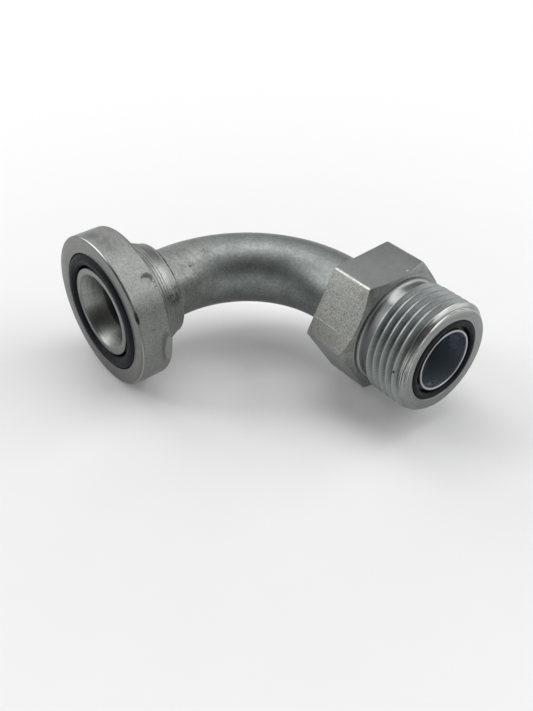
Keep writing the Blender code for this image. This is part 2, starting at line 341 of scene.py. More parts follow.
END_FACE_DEPTH = (1.5, 1.7)
END_FACE_FROM = (10.9, 11.1)
STREAKED_ARC = (-168, -82)
STREAKED_FROM = (12.6, 13.2)
TOP_ARC = (138, 156)
TOP_FROM = (12.8, 13.4)
LINES_ARC = (112, 128)
LIGHT_LINE_RADII = (13.7, 13.82)
DARK_LINE_RADII = (13.98, 14.12)
LIP_RADII = (7.7, 8.2)
LIP_DEPTH = (0.15, 0.3)
END_BORE_WITHIN = (7.9, 8.0)
END_BORE_DEPTH = (0.2, 0.4)

# Middle of a noise's values, and a broader part of them
MIDDLE = (0.35, 0.65)
BROAD = (0.3, 0.7)

# Camera, solved from the photograph, with its angles in radians. It stands round an aim point, which is
# measured from the bend's corner.
CAMERA_AZIMUTH = 0.892
CAMERA_ELEVATION = 0.687
CAMERA_AIM = Vector((26.06, -20.39, -15.46))
CAMERA_DISTANCE = 231.94
FOCAL_PIXELS = 853.72
PICTURE_HEIGHT = 711
SENSOR_HEIGHT = 36
NEAREST_SEEN = 5

# Lamps: azimuth and elevation in degrees, width and height in metres, and power in watts. Their distance and
# the point that they face are in metres too.
LAMPS = {
    "overhead": (-150, 79, 1.0, 0.75, 6.8),
    "skylight": (-88, 57, 0.28, 0.2, 1.15),
    "left": (-48, 34, 0.42, 0.85, 5.5),
    "far left": (-95, 34, 0.85, 0.45, 3.1),
    "behind": (-135, 35, 0.42, 0.42, 0.6),
    "right": (145, 41, 1.35, 0.6, 8.3),
    "low right": (150, 12, 0.42, 0.42, 1.0),
}
LAMP_DISTANCE = 1.2
LAMPS_FACE = Vector((0, 0, 0.02))

# Floor: its size, its drop below the part, the white near the part, and where that grows and is full
FLOOR_SIZE = 6000
FLOOR_DROP = 0.1
PAPER_GLOW = 0.12
GLOW_STARTS = 40.0
GLOW_FULL = 220.0

# Room: its light overhead, and how high the white of the horizon reaches, as the sine of its elevation
ROOM_LIGHT = 0.01
HORIZON_WHITE_BELOW = math.sin(math.radians(3))
HORIZON_GONE_ABOVE = math.sin(math.radians(12))


def open_mesh():
    """Goes into edit mode."""
    bpy.ops.object.mode_set(mode="EDIT")


def close_mesh():
    """Goes back to object mode."""
    bpy.ops.object.mode_set(mode="OBJECT")


def apply_place():
    """Puts the active piece's place, turn and scale into its mesh."""
    bpy.ops.object.transform_apply(location=True, rotation=True, scale=True)


def start():
    """Leaves nothing selected, in object mode."""
    if bpy.context.mode != "OBJECT":
        close_mesh()
    bpy.ops.object.select_all(action="DESELECT")


def only(piece):
    """Leaves one object selected and active, in object mode."""
    start()
    piece.select_set(True)
    bpy.context.view_layer.objects.active = piece


def named(name):
    """Names the new primitive and its mesh."""
    piece = bpy.context.object
    piece.name = name
    piece.data.name = name
    return piece


def deselect_mesh():
    """Leaves nothing of the active mesh selected, in object mode."""
    open_mesh()
    bpy.ops.mesh.select_all(action="DESELECT")
    close_mesh()


def weld_up():
    """Merges doubles, turns the faces outwards and applies the piece's place."""
    bpy.ops.mesh.select_all(action="SELECT")
    bpy.ops.mesh.remove_doubles(threshold=WELD)
    bpy.ops.mesh.normals_make_consistent(inside=False)
    close_mesh()
    apply_place()


def turned(name, outline, sides=TURNED_SIDES, solid=False):
    """Extrudes and resizes one circle along a (radius, height) outline, as a lathe would cut it."""
    start()
    radius, height = outline[0]
    fill = "NGON" if solid else "NOTHING"
    bpy.ops.mesh.primitive_circle_add(vertices=sides, radius=radius * MM, fill_type=fill,
                                      location=(0, 0, height * MM))
    piece = named(name)
    open_mesh()
    bpy.ops.mesh.select_all(action="SELECT")
    onward = outline[1:] if solid else outline[1:] + outline[:1]
    for new_radius, new_height in onward:
        rise = (0, 0, (new_height - height) * MM)
        bpy.ops.mesh.extrude_region_move(TRANSFORM_OT_translate={"value": rise})
        ratio = new_radius / radius
        bpy.ops.transform.resize(value=(ratio, ratio, 1), center_override=(0, 0, new_height * MM))
        radius, height = new_radius, new_height
    weld_up()
    return piece


def arc(radius_at, height_at, size, first, last, steps=6):
    """Points of a round corner in the (radius, height) plane, between two angles in degrees."""
    points = []
    for step in range(steps + 1):
        angle = math.radians(first + (last - first) * step / steps)
        points.append((radius_at + size * math.cos(angle), height_at + size * math.sin(angle)))
    return points


def combine(piece, other, operation):
    """Joins, cuts or intersects a piece with another, which is used up."""
    only(piece)
    step = piece.modifiers.new(operation.title(), "BOOLEAN")
    step.object = other
    step.operation = operation
    step.solver = "EXACT"
    bpy.ops.object.modifier_apply(modifier=step.name)
    bpy.data.objects.remove(other, do_unlink=True)


def soften_edges(piece):
    """Breaks a piece's sharp edges with a narrow bevel."""
    only(piece)
    step = piece.modifiers.new("Broken edges", "BEVEL")
    step.width = BROKEN_EDGE * MM
    step.segments = 2
    step.limit_method = "ANGLE"
    step.angle_limit = BROKEN_EDGE_ANGLE
    bpy.ops.object.modifier_apply(modifier=step.name)


def place(piece, port, turn):
    """Moves a piece from the lathe's axis to its port, and smooths its rounds."""
    only(piece)
    piece.rotation_euler = turn
    piece.location = port
    apply_place()
    bpy.ops.object.shade_smooth_by_angle(angle=SMOOTH_BELOW)


def press(piece, point, push, reach):
    """Pushes in the corner of the mesh nearest to a world point, fading out over a reach."""
    only(piece)
    nearest = min(piece.data.vertices, key=lambda vert: (vert.co - point).length).index
    deselect_mesh()
    piece.data.vertices[nearest].select = True
    open_mesh()
    bpy.ops.transform.translate(value=Vector(push) * MM, use_proportional_edit=True,
                                proportional_edit_falloff="SMOOTH", proportional_size=reach * MM)
    close_mesh()


def on_disc(angle, depth):
    """World point on the disc's rim, by its angle round the flange axis and its depth from the face."""
    turn = math.radians(angle)
    return FLANGE_PORT + Vector((DISC_RADIUS * math.cos(turn), depth, DISC_RADIUS * math.sin(turn))) * MM


def dress(piece, node, finish):
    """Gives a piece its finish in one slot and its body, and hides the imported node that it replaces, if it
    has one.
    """
    piece.data.materials.clear()
    piece.data.materials.append(finish)
    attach(piece, "root")
    if node:
        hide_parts(node)


def hub_ridges(first):
    """Outline of the fine grooves that the lathe left round the hub, where it starts to taper."""
    ridges = []
    for ridge in range(HUB_RIDGES):
        height = first - HUB_RIDGE_PITCH * ridge
        radius = HUB_RIDGE_RADIUS - HUB_RIDGE_TAPER * ridge
        ridges += [(radius, height), (radius - HUB_RIDGE_DEPTH, height - HUB_RIDGE_BOTTOM)]
        ridges += [(radius - HUB_RIDGE_STEP, height - HUB_RIDGE_WIDTH)]
    return ridges


def flange_head():
    """Disc, seal groove, hub and funnel in one turned outline, with the knocks that the rim has had."""
    back = -DISC_THICKNESS
    socket = TUBE_RADIUS + SEAT_GAP
    outline = [(MOUTH_RADIUS, 0), (FLANGE_GROOVE_INNER, 0)]
    outline += [(FLANGE_GROOVE_INNER, -FLANGE_GROOVE_DEPTH), (FLANGE_GROOVE_OUTER, -FLANGE_GROOVE_DEPTH)]
    outline += [(FLANGE_GROOVE_OUTER, 0), (FACE_RING, 0)]
    outline += [(DISC_RADIUS - DISC_CHAMFER, 0), (DISC_RADIUS, -DISC_CHAMFER)]
    outline += [(DISC_RADIUS, -DISC_CHAMFER - RIM_ROW * row) for row in range(1, RIM_ROWS + 1)]
    outline += arc(DISC_RADIUS - DISC_BACK_ROUND, back + DISC_BACK_ROUND, DISC_BACK_ROUND, 0, -90)
    outline += arc(HUB_ROOT_RADIUS + HUB_ROOT_FILLET, back - HUB_ROOT_FILLET, HUB_ROOT_FILLET, 90, 180, 5)
    outline += hub_ridges(back - HUB_RIDGES_FROM)
    outline += arc(HUB_NOSE_RADIUS, -HUB_END + HUB_NOSE_ROUND, HUB_NOSE_ROUND, HUB_NOSE_FROM, -90)
    outline += [(socket, -HUB_END), (socket, -SOCKET_START)]
    outline += [(FUNNEL_END_RADIUS, -SOCKET_START), (FUNNEL_END_RADIUS, -FUNNEL_DEPTH)]
    head = turned("flange_head_turned", outline)
    soften_edges(head)
    place(head, FLANGE_PORT, FLANGE_TURN)
    for angle, depth, push, reach in DISC_KNOCKS.values():
        press(head, on_disc(angle, depth), push, reach)
    return head


def o_ring(name, cord, groove_outer, groove_depth, port, turn):
    """Rubber ring that lies on the floor of its groove, against the outer wall."""
    start()
    half = cord / 2
    middle = groove_outer - half - RING_GAP
    bpy.ops.mesh.primitive_torus_add(major_segments=RING_SIDES, minor_segments=CORD_SIDES,
                                     major_radius=middle * MM, minor_radius=half * MM,
                                     location=(0, 0, (half - groove_depth + RING_GAP) * MM))
    ring = named(name)
    apply_place()
    place(ring, port, turn)
    return ring


def bent_tube():
    """Extrudes and spins a circle along the tube's path, then gives it its wall."""
    start()
    first = -(FLANGE_LEG - SOCKET_START - SEAT_GAP) * MM
    bpy.ops.mesh.primitive_circle_add(vertices=TUBE_SIDES, radius=TUBE_RADIUS * MM, location=(0, first, 0),
                                      rotation=(math.pi / 2, 0, 0))
    tube = named("bent_tube")
    open_mesh()
    bpy.ops.mesh.select_all(action="SELECT")
    part = (-BEND_RADIUS * MM - first) / FLANGE_LEG_PARTS
    for _ in range(FLANGE_LEG_PARTS):
        bpy.ops.mesh.extrude_region_move(TRANSFORM_OT_translate={"value": (0, part, 0)})
    bpy.ops.mesh.spin(steps=BEND_STEPS, angle=math.pi / 2, axis=(0, 0, 1),
                      center=(BEND_RADIUS * MM, -BEND_RADIUS * MM, 0))
    last = (THREAD_LEG - FACE_TO_HEX - HEX_LENGTH + END_SOCKET_DEPTH - BEND_RADIUS - SEAT_GAP) * MM
    part = last / THREAD_LEG_PARTS
    for _ in range(THREAD_LEG_PARTS):
        bpy.ops.mesh.extrude_region_move(TRANSFORM_OT_translate={"value": (part, 0, 0)})
    weld_up()
    wall = tube.modifiers.new("Wall", "SOLIDIFY")
    wall.thickness = TUBE_WALL * MM
    wall.offset = -1
    only(tube)
    bpy.ops.object.modifier_apply(modifier=wall.name)
    place(tube, CORNER, NO_TURN)
    press(tube, CORNER + Vector(TUBE_MARK_AT) * MM, TUBE_MARK_PUSH, TUBE_MARK_REACH)
    return tube


def hex_bar():
    """Bar with six flats, its long edges rounded and its front corners turned down to a cone."""
    start()
    length = HEX_LENGTH + HEX_SPARE
    bpy.ops.mesh.primitive_cylinder_add(vertices=HEX_SIDES, radius=HEX_ACROSS_FLATS / math.sqrt(3) * MM,
                                        depth=length * MM, rotation=(0, 0, HEX_TURN),
                                        location=(0, 0, (length / 2 - FACE_TO_HEX - HEX_LENGTH) * MM))
    bar = named("hex_thread_end")
    deselect_mesh()
    for edge in bar.data.edges:
        ends = [bar.data.vertices[index].co.z for index in edge.vertices]
        edge.select = abs(ends[0] - ends[1]) > HEX_LENGTH / 2 * MM
    open_mesh()
    bpy.ops.mesh.bevel(offset=HEX_EDGE_BEVEL * MM, segments=4, affect="EDGES")
    close_mesh()
    apply_place()
    wide = HEX_ACROSS_FLATS
    cone_ends = -FACE_TO_HEX - (wide - HEX_FACE_RADIUS) * math.tan(HEX_CHAMFER_ANGLE)
    outline = [(HEX_FACE_RADIUS - HEX_FACE_ROUND, -FACE_TO_HEX)]
    outline += [(HEX_FACE_RADIUS, -FACE_TO_HEX - HEX_FACE_DROP), (wide, cone_ends), (wide, -PAST_THE_END)]
    combine(bar, turned("cone", outline, solid=True), "INTERSECT")
    return bar


def thread_groove():
    """Coil with a V section and a rounded root, which cuts the thread out of the barrel."""
    start()
    depth = THREAD_DEPTH + THREAD_CUT_OVER
    top_half = THREAD_ROOT_HALF + depth * math.tan(THREAD_FLANK)
    middle = THREAD_RADIUS - THREAD_DEPTH + depth / 2
    first_turn = THREAD_PHASE - THREAD_TURNS_BEHIND * THREAD_PITCH
    bpy.ops.mesh.primitive_plane_add(size=1, rotation=(math.pi / 2, 0, 0),
                                     location=(middle * MM, 0, first_turn * MM))
    coil = named("groove")
    coil.scale = (depth * MM, 2 * top_half * MM, 1)
    apply_place()
    deselect_mesh()
    for vert in coil.data.vertices:
        vert.select = vert.co.x < middle * MM
    open_mesh()
    bpy.ops.transform.resize(value=(1, 1, THREAD_ROOT_HALF / top_half),
                             center_override=(0, 0, first_turn * MM))
    bpy.ops.mesh.bevel(offset=THREAD_ROOT_ROUND * MM, segments=2, affect="VERTICES")
    bpy.ops.mesh.select_all(action="SELECT")
    bpy.ops.mesh.delete(type="ONLY_FACE")
    close_mesh()
    winding = coil.modifiers.new("Winding", "SCREW")
    winding.axis = "Z"
    winding.angle = math.tau
    winding.screw_offset = THREAD_PITCH * MM
    winding.iterations = THREAD_TURNS
    winding.steps = winding.render_steps = THREAD_STEPS
    winding.use_merge_vertices = False
    bpy.ops.object.modifier_apply(modifier=winding.name)
    open_mesh()
    bpy.ops.mesh.select_all(action="SELECT")
    bpy.ops.mesh.fill_holes(sides=0)
    bpy.ops.mesh.select_all(action="SELECT")
    bpy.ops.mesh.normals_make_consistent(inside=False)
    close_mesh()
    return coil


def threaded_barrel():
    """Neck and thread, turned in one outline and then cut by the coil."""
    edge = THREAD_RADIUS - THREAD_CHAMFER_DROP - END_EDGE_ROUND
    neck_starts = -FACE_TO_HEX + NECK_WIDTH
    inside = NECK_RADIUS + NECK_FILLET * (1 + math.cos(math.radians(NECK_FILLET_END)))
    outline = [(edge, 0)]
    outline += arc(edge, -END_EDGE_ROUND, END_EDGE_ROUND, 90, END_EDGE_TO, 3)
    outline += [(THREAD_RADIUS, -THREAD_CHAMFER_LENGTH), (THREAD_RADIUS, neck_starts + NECK_RUNOUT)]
    outline += [(NECK_RADIUS, neck_starts)]
    outline += arc(NECK_RADIUS + NECK_FILLET, -FACE_TO_HEX + NECK_FILLET, NECK_FILLET, 180, NECK_FILLET_END)
    outline += [(inside, -FACE_TO_HEX - HEX_LENGTH / 3)]
    barrel = turned("barrel", outline, solid=True)
    combine(barrel, thread_groove(), "DIFFERENCE")
    return barrel


def hex_thread_end():
    """Hex, neck, thread, grooved face and bore, cut from one bar."""
    end = hex_bar()
    combine(end, threaded_barrel(), "UNION")
    floor = -(FACE_TO_HEX + HEX_LENGTH - END_SOCKET_DEPTH)
    socket = TUBE_RADIUS + SEAT_GAP
    flare = CUT_ABOVE + EDGE_BREAK
    bore = [(END_BORE_RADIUS + flare, CUT_ABOVE), (END_BORE_RADIUS, -EDGE_BREAK), (END_BORE_RADIUS, floor)]
    bore += [(socket, floor), (socket, -PAST_THE_END)]
    combine(end, turned("bore", bore, solid=True), "DIFFERENCE")
    inner, outer = FACE_GROOVE_INNER, FACE_GROOVE_OUTER
    groove = [(inner - flare, CUT_ABOVE), (outer + flare, CUT_ABOVE), (outer, -EDGE_BREAK)]
    groove += [(outer, -FACE_GROOVE_DEPTH), (inner, -FACE_GROOVE_DEPTH), (inner, -EDGE_BREAK)]
    combine(end, turned("face groove", groove), "DIFFERENCE")
    place(end, THREAD_PORT, THREAD_TURN)
    return end


def braze_fillet(name, start_radius, height, reach, port, turn):
    """Small concave ring of braze where the tube leaves its socket."""
    inner = TUBE_RADIUS - BRAZE_OVERLAP
    outline = [(inner, height + BRAZE_ROOT), (start_radius, height + BRAZE_EDGE)]
    outline += arc(TUBE_RADIUS + reach, height - reach, reach, 90, 180)
    outline += [(inner, height - reach - BRAZE_TAIL)]
    ring = turned(name, outline, sides=TUBE_SIDES)
    place(ring, port, turn)
    return ring


class Finish:
    """A material built up in layers on a port's own coordinates: colour, roughness, and height in mm."""

    def __init__(self, name, colour, roughness, port, turn, metallic=0.9):
        self.material = bpy.data.materials.new(name)
        self.material.use_nodes = True
        self.tree = self.material.node_tree
        self.shader = self.tree.nodes["Principled BSDF"]
        self.shader.inputs["Metallic"].default_value = metallic
        self.colour = colour
        self.roughness = roughness
        self.height = 0.0
        coords = self.add("ShaderNodeTexCoord").outputs["Object"]
        self.place = self.add("ShaderNodeMapping", Vector=coords, Location=port, Rotation=turn,
                              Scale=(MM, MM, MM), vector_type="TEXTURE").outputs["Vector"]
        self.parts = self.add("ShaderNodeSeparateXYZ", Vector=self.place).outputs
        flat = self.add("ShaderNodeCombineXYZ", X=self.parts["X"], Y=self.parts["Y"]).outputs["Vector"]
        self.outward = self.vectors("NORMALIZE", flat)["Vector"]
        self.radius = self.vectors("LENGTH", flat)["Value"]
        turned_by = self.maths("ARCTAN2", self.parts["Y"], self.parts["X"])
        self.angle = self.maths("MULTIPLY", turned_by, 180 / math.pi)
        self.depth = self.maths("MULTIPLY", self.parts["Z"], -1.0)

    def add(self, kind, numbered=None, **settings):
        """Adds a node; settings are its properties and its sockets, with values or other nodes' outputs."""
        made = self.tree.nodes.new(kind)
        for name in list(settings):
            if not name[0].isupper():
                setattr(made, name, settings.pop(name))
        for socket, source in {**settings, **(numbered or {})}.items():
            if isinstance(socket, str):
                socket = socket.replace("_", " ")
            if isinstance(source, bpy.types.NodeSocket):
                self.tree.links.new(source, made.inputs[socket])
            elif made.inputs[socket].type == "RGBA":
                made.inputs[socket].default_value = (*source, 1.0)
            else:
                made.inputs[socket].default_value = source
        return made

    def vectors(self, operation, first, second=(0.0, 0.0, 0.0), scale=1.0):
        """Outputs of a sum on places or directions."""
        numbered = {0: first, 1: second, 3: scale}
        return self.add("ShaderNodeVectorMath", numbered, operation=operation).outputs

    def maths(self, operation, first, second=0.0, third=0.0):
        """Result of a sum on values."""
        return self.add("ShaderNodeMath", {0: first, 1: second, 2: third}, operation=operation).outputs[0]

    def step(self, value, low, high, start=0.0, end=1.0):
        """Smooth step from start to end while a value goes from low to high."""
        made = self.add("ShaderNodeMapRange", interpolation_type="SMOOTHSTEP", Value=value,
                        From_Min=low, From_Max=high, To_Min=start, To_Max=end)
        return made.outputs["Result"]

    def fall(self, value, low, high):
        """1 below a level of a value, 0 above it."""
        return self.step(value, low, high, 1.0, 0.0)

    def band(self, value, low, high, soft):
        """1 between two levels of a value, 0 outside them."""
        rise = self.step(value, low - soft, low + soft)
        fall = self.fall(value, high - soft, high + soft)
        return self.maths("MULTIPLY", rise, fall)

    def both(self, *masks):
        """1 where all of the masks are 1."""
        product = masks[0]
        for mask in masks[1:]:
            product = self.maths("MULTIPLY", product, mask)
        return product

    def either(self, first, second):
        """1 where one mask or the other is 1."""
        return self.maths("MAXIMUM", first, second)

    def without(self, mask):
        """1 where the mask is 0."""
        return self.maths("SUBTRACT", 1.0, mask)

    def oval(self, mark, soft=0.35):
        """1 inside an oval by angle round the axis and by depth, 0 outside it."""
        middle_angle, middle_depth, half_angle, half_depth = mark
        across = self.maths("DIVIDE", self.maths("SUBTRACT", self.angle, middle_angle), half_angle)
        along = self.maths("DIVIDE", self.maths("SUBTRACT", self.depth, middle_depth), half_depth)
        spread = self.maths("MULTIPLY_ADD", across, across, self.maths("MULTIPLY", along, along))
        return self.fall(spread, (1 - soft) ** 2, (1 + soft) ** 2)

    def blot(self, middle, size, soft=0.4):
        """1 inside a ball at a place in the port's millimetres, ragged at its edge."""
        ragged = self.vectors("ADD", self.grain_vector(1.4, 0.5 * size), self.place)["Vector"]
        away = self.vectors("DISTANCE", ragged, middle)["Value"]
        return self.fall(away, size * (1 - soft), size * (1 + soft))

    def towards(self, turn):
        """How far out a point lies in one direction across the axis."""
        return self.vectors("DOT_PRODUCT", self.place, (math.cos(turn), math.sin(turn), 0.0))["Value"]

    def grain(self, closeness, detail=3.0, roughness=0.55, vector=None):
        """Noise with a feature about every 1 / closeness millimetres."""
        return self.add("ShaderNodeTexNoise", Vector=vector or self.place, Scale=closeness,
                        Detail=detail, Roughness=roughness).outputs["Fac"]

    def grain_vector(self, closeness, amount):
        """Noise as a shift of place, in millimetres."""
        colour = self.add("ShaderNodeTexNoise", Vector=self.place, Scale=closeness).outputs["Color"]
        centred = self.vectors("SUBTRACT", colour, (0.5, 0.5, 0.5))["Vector"]
        return self.vectors("SCALE", centred, scale=amount)["Vector"]

    def turned_marks(self, closeness, drawn_out=0.6):
        """Noise drawn out round the axis, as a lathe tool leaves it, by radius and depth."""
        across = self.maths("MULTIPLY", self.maths("ADD", self.radius, self.depth), closeness)
        along = self.vectors("SCALE", self.outward, scale=drawn_out)["Vector"]
        parts = self.add("ShaderNodeSeparateXYZ", Vector=along).outputs
        line = self.add("ShaderNodeCombineXYZ", X=parts["X"], Y=parts["Y"], Z=across).outputs["Vector"]
        return self.grain(1.0, detail=3.0, roughness=0.6, vector=line)

    def tint(self, mask, colour, amount=1.0):
        """Blends the colour towards another where the mask is 1, by an amount."""
        if amount != 1.0:
            mask = self.maths("MULTIPLY", mask, amount)
        self.colour = self.add("ShaderNodeMix", {0: mask, 6: self.colour, 7: colour},
                               data_type="RGBA").outputs[2]

    def shade(self, factor):
        """Multiplies the colour by a value."""
        self.colour = self.vectors("SCALE", self.colour, scale=factor)["Vector"]

    def strengthen(self, mask, factor):
        """Multiplies the colour by a factor where the mask is 1."""
        self.shade(self.step(mask, 0.0, 1.0, 1.0, factor))

    def mottle(self, mask, noise, low, high, darker, lighter):
        """Makes the colour darker and lighter by a noise, where the mask is 1."""
        change = self.both(mask, self.step(noise, low, high, darker, lighter))
        self.shade(self.maths("ADD", 1.0, change))

    def darken_groove(self, inner, outer, depth, from_wall, from_face):
        """Darkens a seal groove, into which hardly any light falls."""
        across = self.band(self.radius, inner + from_wall, outer - from_wall, 0.03)
        down = self.band(self.depth, from_face, depth + 0.15, 0.05)
        self.tint(self.both(across, down), GROOVE_SHADE, 0.85)

    def polish(self, mask, roughness):
        """Takes the roughness to another value where the mask is 1."""
        self.roughness = self.add("ShaderNodeMix", {0: mask, 2: self.roughness, 3: roughness},
                                  data_type="FLOAT").outputs[0]

    def lift(self, mask, amount):
        """Raises the surface by an amount where the mask is 1, or sinks it where that is negative."""
        self.height = self.maths("MULTIPLY_ADD", mask, amount, self.height)

    def done(self):
        """Gives the shader its colour, roughness and bump."""
        self.tree.links.new(self.colour, self.shader.inputs["Base Color"])
        if isinstance(self.roughness, bpy.types.NodeSocket):
            self.tree.links.new(self.roughness, self.shader.inputs["Roughness"])
        else:
            self.shader.inputs["Roughness"].default_value = self.roughness
        bump = self.add("ShaderNodeBump", Height=self.height, Distance=MM, Strength=1.0)
        self.tree.links.new(bump.outputs["Normal"], self.shader.inputs["Normal"])
        return self.material


def flange_finish():
    """Zinc on the turned head: matt, grainy rim, fine rings on the face and in the bore, and its knocks, with
    painted shade and painted highlights.
    """
    made = Finish("flange zinc plating", FLANGE_ZINC, 0.42, FLANGE_PORT, FLANGE_TURN)
    clouds = made.grain(0.35, detail=4.0)
    specks = made.grain(2.2, detail=4.0, roughness=0.7)
    made.shade(made.step(clouds, *MIDDLE, 0.93, 1.05))
    made.shade(made.step(specks, 0.3, 0.72, 0.86, 1.12))

    on_rim = made.both(made.step(made.radius, *RIM_FROM), made.band(made.depth, *RIM_DEPTHS, 0.1))
    pits = made.grain(2.9, detail=5.0, roughness=0.75)
    made.mottle(on_rim, pits, *MIDDLE, -0.21, 0.18)
    # Painted shade: the colour is darker round the underside of the head.
    made.shade(made.step(made.angle, *UNDERSIDE, 0.86, 1.0))
    made.lift(made.both(on_rim, pits), 0.045)
    made.lift(specks, 0.008)

    rings = made.turned_marks(5.0)
    off_rim = made.without(on_rim)
    made.mottle(off_rim, rings, *BROAD, -0.09, 0.07)
    made.lift(made.both(off_rim, rings), 0.02)

    in_bore = made.both(made.fall(made.radius, *MOUTH_WITHIN), made.step(made.depth, *MOUTH_DEPTH))
    feed = made.turned_marks(9.0, 0.3)
    made.lift(made.both(in_bore, feed), 0.05)
    made.mottle(in_bore, feed, *BROAD, -0.16, 0.2)
    made.strengthen(in_bore, 1.42)
    made.darken_groove(FLANGE_GROOVE_INNER, FLANGE_GROOVE_OUTER, FLANGE_GROOVE_DEPTH, 0.04, 0.2)
    made.polish(in_bore, 0.39)
    # Painted shade: the bore is darker past the end of the funnel.
    painted_shade_past_funnel = made.both(in_bore, made.step(made.depth, FUNNEL_DEPTH - 0.05, FUNNEL_DEPTH + 0.05))
    made.strengthen(painted_shade_past_funnel, 0.42)

    worn_face = made.both(made.band(made.radius, *WORN_RING, 0.2), made.band(made.angle, *WORN_ARC, 8),
                          made.fall(made.depth, *WORN_DEPTH))
    made.tint(worn_face, WORN_FACE, 0.6)
    # Painted shade: a darker band round the front chamfer.
    on_chamfer = made.step(made.radius, *CHAMFER_FROM)
    in_front = made.fall(made.depth, *CHAMFER_DEPTH)
    made.tint(made.both(on_chamfer, in_front), PAINTED_FRONT_EDGE_SHADE, 0.5)
    # Painted highlight: a light line along the front chamfer, over the arc where it catches the light.
    painted_edge_highlight = made.both(on_chamfer, made.band(made.depth, *BRIGHT_EDGE_DEPTHS, 0.05),
                            made.band(made.angle, *BRIGHT_EDGE_ARC, 7))
    made.tint(painted_edge_highlight, PAINTED_EDGE_HIGHLIGHT)
    on_face = made.both(made.fall(made.depth, *OUTER_FACE_DEPTH), made.step(made.radius, *OUTER_FACE_FROM))
    made.strengthen(on_face, 0.85)
    made.polish(on_face, 0.36)
    # Painted highlight: a light line along the lower arc of the front edge.
    low_edge_highlight = made.both(made.band(made.radius, *LOW_EDGE_RING, 0.06),
                         made.band(made.angle, *LOW_EDGE_ARC, 8), in_front)
    made.tint(low_edge_highlight, PAINTED_LOW_EDGE_HIGHLIGHT, 0.7)
    nick = made.both(made.oval(NICK, 0.3), made.step(made.radius, *NICK_FROM))
    made.tint(nick, NICK_SHADE)

    dent = made.both(made.oval(DENT, 0.25), on_rim)
    floor = made.oval(DENT_FLOOR, 0.25)
    # Painted shade: a dark crescent round the dent's wall.
    dent_shade_crescent = made.both(dent, made.without(floor), made.step(made.grain(1.5), 0.3, 0.45, 0.5, 1.0))
    made.tint(dent_shade_crescent, PAINTED_DENT_SHADE, 0.82)
    chips = made.both(made.either(made.oval(UPPER_CHIP), made.oval(LOWER_CHIP)), on_rim)
    made.tint(chips, CHIP_SHADE, 0.8)
    hand_mark = made.both(made.oval(HAND_MARK, 0.8), made.step(clouds, 0.4, 0.55))
    hand_marks = made.either(hand_mark, made.oval(SMALL_HAND_MARK, 0.8))
    made.tint(made.both(hand_marks, on_rim, made.step(specks, *MIDDLE, 0.5, 0.95)), HAND_MARK_SHADE)
    near_rim = made.step(made.radius, *NEAR_RIM)
    # Painted shade round the pressed facet's edge, and a painted sheen on the facet itself.
    facet_edge_shade = made.both(made.oval(FACET_EDGE, 0.3), near_rim)
    facet = made.both(made.oval(FACET, 0.2), near_rim)
    made.tint(facet_edge_shade, PAINTED_FACET_EDGE_SHADE, 0.75)
    made.tint(facet, PAINTED_FACET_SHEEN, 0.8)
    scratch = made.both(made.oval(SCRATCH, 0.4), on_rim)
    made.tint(scratch, SCRATCH_SHADE, 0.6)

    on_hub = made.both(made.band(made.depth, *HUB_DEPTHS, 0.2), made.step(made.radius, *HUB_FROM),
                       made.fall(made.radius, *HUB_WITHIN))
    # Painted highlight: a light patch on the hub, which is made smoother too.
    hub_highlight = made.both(on_hub, made.oval(HUB_HIGHLIGHT_PATCH, 0.6), made.step(made.grain(1.1), 0.3, 0.5, 0.5, 1.0))
    made.tint(hub_highlight, PAINTED_HUB_HIGHLIGHT, 0.8)
    made.polish(hub_highlight, 0.42)
    # Painted shade: dark lines in the hub's tool grooves, over the arc where they show.
    first_ridge = DISC_THICKNESS + HUB_RIDGES_FROM
    past_first = made.maths("SUBTRACT", made.depth, first_ridge)
    spacing = made.maths("FRACT", made.maths("DIVIDE", past_first, HUB_RIDGE_PITCH))
    lines = made.both(on_hub, made.band(made.depth, first_ridge, RIDGE_LINES_END, 0.1),
                      made.band(spacing, *RIDGE_LINE, 0.08), made.band(made.angle, *RIDGE_LINES_ARC, 12),
                      made.step(made.grain(0.8), 0.35, 0.5, 0.3, 1.0))
    made.tint(lines, PAINTED_GROOVE_LINE_SHADE, 0.75)
    smudge = made.both(made.oval(SMUDGE, 0.5), made.step(made.grain(1.1, detail=4.0), 0.38, 0.6))
    made.tint(smudge, SMUDGE_SHADE, 0.75)
    made.polish(made.both(on_hub, made.band(made.depth, *HUB_NOSE_DEPTHS, 0.1)), 0.6)
    # Painted shadow: a dark line in the crevice where the hub meets the tube.
    crevice_shadow = made.both(made.oval(CREVICE, 0.4), on_hub, made.step(made.radius, *CREVICE_FROM),
                        made.step(made.grain(1.0, detail=4.0), 0.38, 0.5, 0.4, 1.0))
    made.tint(crevice_shadow, PAINTED_CREVICE_SHADOW)
    return made.done()


